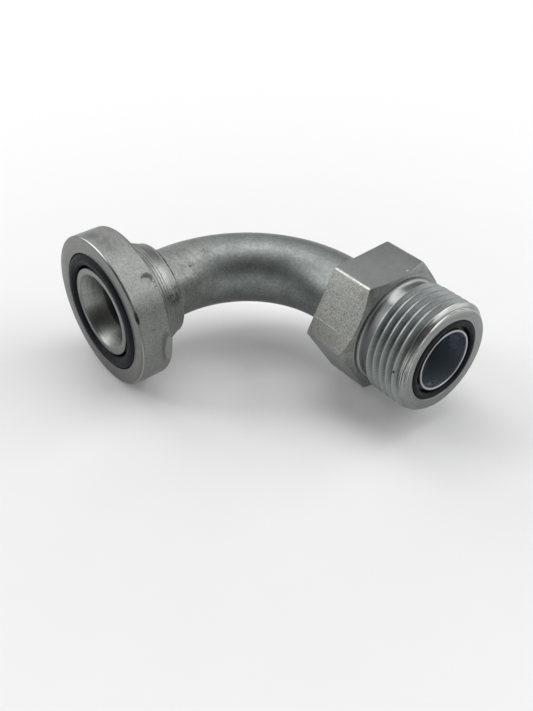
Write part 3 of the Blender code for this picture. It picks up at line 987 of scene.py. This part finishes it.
def tube_finish():
    """Zinc over drawn tube: warmer by the flange, with soft mottling, fine sparkle, a stain and a mark, and
    painted shade underneath and inside.
    """
    made = Finish("tube zinc plating", TUBE_ZINC, 0.43, CORNER, NO_TURN)
    length, height = made.parts["Y"], made.parts["Z"]
    by_flange = made.fall(length, *WARM_LEG_TO)
    made.tint(by_flange, FLANGE_LEG_ZINC, 0.8)
    clouds = made.grain(0.28, detail=4.0)
    mottle = made.grain(1.3, detail=5.0, roughness=0.65)
    specks = made.grain(3.6, detail=3.0, roughness=0.7)
    made.shade(made.step(clouds, *BROAD, 0.9, 1.08))
    made.shade(made.step(mottle, *BROAD, 0.86, 1.13))
    made.shade(made.step(specks, 0.35, 0.7, 0.92, 1.1))
    # Painted shade: darker towards the bottom of the tube.
    made.shade(made.step(height, *TUBE_UNDERSIDE, 0.83, 1.0))
    made.lift(mottle, 0.028)
    made.lift(specks, 0.012)
    made.roughness = made.step(mottle, *BROAD, 0.51, 0.42)
    sparkle = made.step(made.grain(3.2, detail=2.0), 0.62, 0.72)
    made.tint(sparkle, SPARKLE, 0.45)
    spots = made.step(made.grain(0.9, detail=3.0, roughness=0.7), 0.62, 0.72)
    made.tint(spots, SPOT, 0.4)
    wiped = made.grain(1.0, vector=made.vectors("MULTIPLY", made.place, WIPED_MARKS)["Vector"])
    made.mottle(by_flange, wiped, *MIDDLE, -0.12, 0.1)
    stain = made.both(made.blot(*STAIN, 0.7), made.step(made.grain(2.0), 0.4, 0.6))
    made.tint(stain, BROWN_STAIN, 0.7)
    made.tint(made.blot(TUBE_MARK_AT, TUBE_MARK_SIZE, 0.7), TUBE_MARK_SHADE, 0.8)
    # Painted shade: darker inside the tube by the flange.
    section = made.vectors("MULTIPLY", made.place, (1.0, 0.0, 1.0))["Vector"]
    off_axis = made.vectors("LENGTH", section)["Value"]
    inside = made.both(made.fall(off_axis, *TUBE_WITHIN), made.fall(length, *DARK_INSIDE_TO))
    made.tint(inside, PAINTED_TUBE_INSIDE_SHADE, 0.7)
    return made.done()


def hex_layers(made, clouds):
    """Rolled grain, pits and a crease with a painted highlight on one flat, rough under flats, rubbed corners
    with a painted highlight on the front one, and a grimy cone.
    """
    on_hex = made.step(made.depth, *HEX_FROM)
    flat_at = HEX_ACROSS_FLATS / 2
    flats = []
    for flat in range(HEX_SIDES):
        out = made.towards(HEX_TURN + math.radians(60 * flat))
        flats.append(made.both(on_hex, made.step(out, flat_at + FLAT_FROM[0], flat_at + FLAT_FROM[1])))
    rolled = flats[ROLLED]
    scale = made.grain(2.5, detail=4.0, roughness=0.75)
    made.tint(rolled, ROLLED_FLAT)
    made.mottle(rolled, scale, *MIDDLE, -0.26, 0.26)
    made.lift(made.both(rolled, scale), 0.08)
    made.polish(rolled, 0.48)
    across = made.towards(HEX_TURN + math.radians(60 * ROLLED + 90))
    pitted = made.both(rolled, made.band(across, *PITTED_ACROSS, 1.2),
                       made.step(made.grain(1.1, detail=5.0, roughness=0.7), 0.53, 0.68))
    made.tint(pitted, PIT_SHADE, 0.5)
    made.lift(pitted, -0.04)
    # Painted highlight: a light line along the crease.
    crease = made.both(rolled, made.band(across, *CREASE_ACROSS, 0.1),
                       made.step(made.grain(0.6, detail=4.0), 0.42, 0.55))
    made.tint(crease, PAINTED_RIDGE_HIGHLIGHT, 0.6)
    made.lift(made.both(rolled, made.step(across, *PAST_CREASE)), 0.03)
    made.strengthen(made.both(rolled, made.step(across, *SHADED_PAST_CREASE)), 0.93)
    for flat in UNDER_FLATS:
        made.lift(made.both(flats[flat], scale), 0.03)
        made.mottle(flats[flat], scale, *MIDDLE, -0.1, 0.08)

    corners = made.both(on_hex, made.step(made.radius, *CORNERS_FROM))
    rubbed = made.both(corners, made.step(made.grain(0.9), 0.42, 0.55))
    made.tint(rubbed, RUBBED_CORNER, 0.35)
    # Painted highlight: a light line along the front corner.
    ridge = made.both(corners, made.band(made.angle, *FRONT_CORNER_ARC, 0.3),
                      made.step(made.grain(1.6), 0.38, 0.5, 0.3, 1.0))
    made.tint(ridge, PAINTED_RIDGE_HIGHLIGHT)
    cone = made.both(on_hex, made.band(made.depth, *HEX_CONE_DEPTHS, 0.1),
                     made.step(made.radius, *HEX_CONE_FROM),
                     made.without(made.either(flats[TOP_FLAT], rolled)))
    made.tint(made.both(cone, made.step(clouds, 0.4, 0.6, 0.1, 0.5)), CHAMFER_GRIME)
    made.mottle(cone, scale, *MIDDLE, -0.2, 0.22)
    made.tint(made.blot(*HEX_SPOT, 0.8), HEX_SPOT_BROWN, 0.4)
    made.tint(made.blot(*HEX_SPECK), HEX_SPECK_LIGHT)


def thread_layers(made):
    """Fine ticks across the thread, light crests, darker roots, and painted shade, a painted highlight and
    painted light on the neck.
    """
    on_thread = made.both(made.band(made.depth, *THREAD_DEPTHS, 0.2), made.step(made.radius, *THREAD_FROM))
    ticks = made.grain(1.0, detail=3.0, vector=made.vectors("SCALE", made.outward, scale=22.0)["Vector"])
    made.tint(on_thread, THREAD_ZINC)
    made.mottle(on_thread, ticks, 0.35, 0.62, -0.08, 0.06)
    made.lift(made.both(on_thread, ticks), 0.008)
    made.tint(made.both(on_thread, made.step(made.radius, *CREST_FROM)), CREST_SHEEN, 0.35)
    made.strengthen(made.both(on_thread, made.fall(made.radius, *ROOT_WITHIN)), 0.85)
    made.tint(made.blot(*THREAD_SPECK), THREAD_SPECK_DARK)

    neck = made.both(made.band(made.depth, *NECK_DEPTHS, 0.15), made.fall(made.radius, *NECK_WITHIN))
    made.polish(neck, 0.46)
    # Painted shade over the neck, darker still on one side, and a painted highlight on one spot.
    made.tint(neck, PAINTED_NECK_SHADE, 0.8)
    made.tint(made.both(neck, made.band(made.angle, *SHADED_NECK_ARC, 14)), PAINTED_NECK_SHADOW, 0.55)
    made.tint(made.both(neck, made.oval(NECK_HIGHLIGHT_SPOT, 0.5)), PAINTED_NECK_HIGHLIGHT, 0.8)
    # Painted light: a lighter ring where the neck meets the hex, where shadow falls.
    lit_neck_end = made.both(made.band(made.depth, *NECK_END_DEPTHS, 0.1),
                         made.band(made.radius, *NECK_END_RADII, 0.1))
    made.tint(lit_neck_end, PAINTED_NECK_END_LIGHT)


def end_face_layers(made):
    """Turned streaks on the face with painted light on its top, a painted highlight and a painted shade line
    near its edge, the dark groove, the bright lip and the polished bore.
    """
    on_face = made.both(made.fall(made.depth, *END_FACE_DEPTH), made.step(made.radius, *END_FACE_FROM))
    streaks = made.turned_marks(4.2, 1.6)
    made.lift(made.both(on_face, streaks), 0.04)
    made.mottle(on_face, streaks, *MIDDLE, -0.14, 0.12)
    streaked = made.both(on_face, made.band(made.angle, *STREAKED_ARC, 14),
                         made.step(made.radius, *STREAKED_FROM))
    made.tint(made.both(streaked, made.step(streaks, 0.52, 0.6)), DARK_STREAK)
    made.tint(made.both(streaked, made.fall(streaks, 0.4, 0.46)), LIGHT_STREAK)
    from_bottom = made.maths("ABSOLUTE", made.angle)
    # Turned streaks with painted light: the top of the face is lighter.
    top = made.both(on_face, made.step(from_bottom, *TOP_ARC), made.step(made.radius, *TOP_FROM))
    made.tint(made.both(top, made.step(streaks, 0.44, 0.56, 0.75, 0.2)), STREAKED_PAINTED_TOP_LIGHT)
    # Painted highlight and painted shade: a light line and a dark line round the top of the face's edge.
    round_top = made.step(from_bottom, *LINES_ARC)
    face_edge_highlight = made.both(on_face, round_top, made.band(made.radius, *LIGHT_LINE_RADII, 0.05))
    made.tint(made.both(face_edge_highlight, made.step(made.grain(0.5), 0.36, 0.5, 0.25, 0.7)), PAINTED_FACE_EDGE_HIGHLIGHT)
    face_edge_shade_line = made.both(on_face, round_top, made.band(made.radius, *DARK_LINE_RADII, 0.05))
    made.tint(face_edge_shade_line, PAINTED_FACE_EDGE_SHADE, 0.75)
    made.polish(on_face, 0.32)
    made.darken_groove(FACE_GROOVE_INNER, FACE_GROOVE_OUTER, FACE_GROOVE_DEPTH, 0.03, 0.15)
    made.tint(made.blot(*FACE_SPECK), FACE_SPECK_DARK)

    lip = made.both(made.fall(made.depth, *LIP_DEPTH), made.band(made.radius, *LIP_RADII, 0.05))
    made.tint(lip, LIP_SHEEN, 0.7)
    in_bore = made.both(made.fall(made.radius, *END_BORE_WITHIN), made.step(made.depth, *END_BORE_DEPTH))
    made.tint(in_bore, BRIGHT_BORE)
    made.polish(in_bore, 0.24)
    made.lift(made.both(in_bore, made.turned_marks(3.0, 0.5)), 0.03)
    smears = made.either(made.oval(BORE_SMEAR, 0.5), made.oval(DEEP_BORE_SMEAR, 0.6))
    made.polish(made.both(in_bore, smears, made.step(made.grain(0.9, detail=4.0), 0.4, 0.55)), 0.42)


def end_finish():
    """Zinc on the threaded end: plain top flat, rolled grain beside it, ticked thread and streaked face, with
    painted shade underneath and painted light and highlights.
    """
    made = Finish("threaded end zinc plating", END_ZINC, 0.4, THREAD_PORT, THREAD_TURN)
    clouds = made.grain(0.35, detail=4.0)
    specks = made.grain(2.6, detail=4.0, roughness=0.7)
    made.shade(made.step(clouds, *MIDDLE, 0.96, 1.04))
    made.shade(made.step(specks, 0.3, 0.72, 0.93, 1.08))
    # Painted shade: darker towards the underside of the threaded end.
    made.shade(made.step(made.parts["X"], *END_UNDERSIDE, 1.0, 0.86))
    made.lift(specks, 0.006)
    hex_layers(made, clouds)
    thread_layers(made)
    end_face_layers(made)
    return made.done()


def rubber_finish():
    """Matt black nitrile with a faint bloom and a fine grain."""
    made = Finish("nitrile rubber", RUBBER, 0.62, FLANGE_PORT, FLANGE_TURN, metallic=0.0)
    made.shader.inputs["Specular IOR Level"].default_value = 0.15
    bloom = made.grain(0.9, detail=3.0)
    made.tint(made.step(bloom, 0.45, 0.75, 0.0, 0.6), RUBBER_BLOOM)
    made.lift(made.grain(4.0), 0.004)
    made.roughness = made.step(bloom, *BROAD, 0.6, 0.48)
    return made.done()


def paper_finish():
    """White studio paper, whiter away from the object for camera, glossy and transmission rays alike."""
    made = Finish("white paper", PAPER, 0.9, Vector((0, 0, 0)), NO_TURN, metallic=0.0)
    made.shade(made.step(made.grain(0.05), *BROAD, 0.995, 1.005))
    material = made.done()
    rays = made.add("ShaderNodeLightPath").outputs
    far = made.step(made.radius, GLOW_STARTS, GLOW_FULL, PAPER_GLOW, 1.0)
    through = made.either(rays["Is Glossy Ray"], rays["Is Transmission Ray"])
    seen = made.both(made.either(rays["Is Camera Ray"], through), far)
    glow = made.add("ShaderNodeEmission", Strength=1.0).outputs["Emission"]
    mixed = made.add("ShaderNodeMixShader", {0: seen, 1: made.shader.outputs["BSDF"], 2: glow})
    made.tree.links.new(mixed.outputs["Shader"], made.tree.nodes["Material Output"].inputs["Surface"])
    return material


def direction(azimuth, elevation):
    """Unit vector from the object to a camera or lamp, by angles in radians from -Y and from the floor."""
    flat = math.cos(elevation)
    return Vector((math.sin(azimuth) * flat, -math.cos(azimuth) * flat, math.sin(elevation)))


def aimed(name, data, back, location):
    """Puts a camera or a lamp in its place, facing away from one direction."""
    held = bpy.data.objects.new(name, data)
    bpy.context.scene.collection.objects.link(held)
    held.location = location
    held.rotation_euler = back.to_track_quat("Z", "Y").to_euler()
    return held


def camera():
    """Camera at the photograph's viewing angle, with its field of view."""
    data = bpy.data.cameras.new("camera")
    data.sensor_fit = "VERTICAL"
    data.sensor_height = SENSOR_HEIGHT
    data.lens = FOCAL_PIXELS * data.sensor_height / PICTURE_HEIGHT
    data.clip_start = NEAREST_SEEN * MM
    back = direction(CAMERA_AZIMUTH, CAMERA_ELEVATION)
    location = CORNER + (CAMERA_AIM + back * CAMERA_DISTANCE) * MM
    bpy.context.scene.camera = aimed("camera", data, back, location)


def softbox(name, azimuth, elevation, width, height, power):
    """Rectangular lamp that faces the object."""
    data = bpy.data.lights.new(name, "AREA")
    data.shape = "RECTANGLE"
    data.size, data.size_y = width, height
    data.energy = power
    back = direction(math.radians(azimuth), math.radians(elevation))
    lamp = aimed(name, data, back, LAMPS_FACE + back * LAMP_DISTANCE)
    lamp.visible_camera = False


def studio():
    """Pale floor just below the object, and soft lamps above and round it."""
    start()
    bpy.ops.mesh.primitive_plane_add(size=FLOOR_SIZE * MM, location=(0, 0, cad_box[0][2] - FLOOR_DROP * MM))
    floor = named("floor")
    floor.data.materials.append(paper_finish())
    for name, settings in LAMPS.items():
        softbox(name, *settings)


def room():
    """A plain room, the same for every ray: white round the horizon, where the paper ends, and dim above."""
    world = bpy.data.worlds.new("room")
    bpy.context.scene.world = world
    world.use_nodes = True
    tree = world.node_tree
    background = tree.nodes["Background"]
    background.inputs["Color"].default_value = (1, 1, 1, 1)
    coords = tree.nodes.new("ShaderNodeTexCoord")
    parts = tree.nodes.new("ShaderNodeSeparateXYZ")
    level = tree.nodes.new("ShaderNodeMapRange")
    level.interpolation_type = "SMOOTHSTEP"
    levels = {"From Min": HORIZON_WHITE_BELOW, "From Max": HORIZON_GONE_ABOVE,
              "To Min": 1.0, "To Max": ROOM_LIGHT}
    for socket, value in levels.items():
        level.inputs[socket].default_value = value
    tree.links.new(coords.outputs["Object"], parts.inputs["Vector"])
    tree.links.new(parts.outputs["Z"], level.inputs["Value"])
    tree.links.new(level.outputs["Result"], background.inputs["Strength"])


camera()
studio()
room()
bpy.context.scene.view_settings.view_transform = "Standard"

plate = flange_finish()
tube_plate = tube_finish()
end_plate = end_finish()
rubber = rubber_finish()

dress(flange_head(), "flange_head", plate)
flange_ring = o_ring("flange_o_ring", FLANGE_CORD, FLANGE_GROOVE_OUTER, FLANGE_GROOVE_DEPTH,
                     FLANGE_PORT, FLANGE_TURN)
dress(flange_ring, "flange_seal", rubber)
dress(bent_tube(), "elbow_tube", tube_plate)
dress(hex_thread_end(), "face_seal_end", end_plate)
face_ring = o_ring("face_o_ring", FACE_CORD, FACE_GROOVE_OUTER, FACE_GROOVE_DEPTH, THREAD_PORT, THREAD_TURN)
dress(face_ring, "face_seal", rubber)
hub_braze = braze_fillet("hub_braze", HUB_BRAZE_RADIUS, -HUB_END, HUB_BRAZE_REACH, FLANGE_PORT, FLANGE_TURN)
dress(hub_braze, None, plate)
hex_braze = braze_fillet("hex_braze", HEX_BRAZE_RADIUS, -FACE_TO_HEX - HEX_LENGTH, HEX_BRAZE_REACH,
                         THREAD_PORT, THREAD_TURN)
dress(hex_braze, None, end_plate)
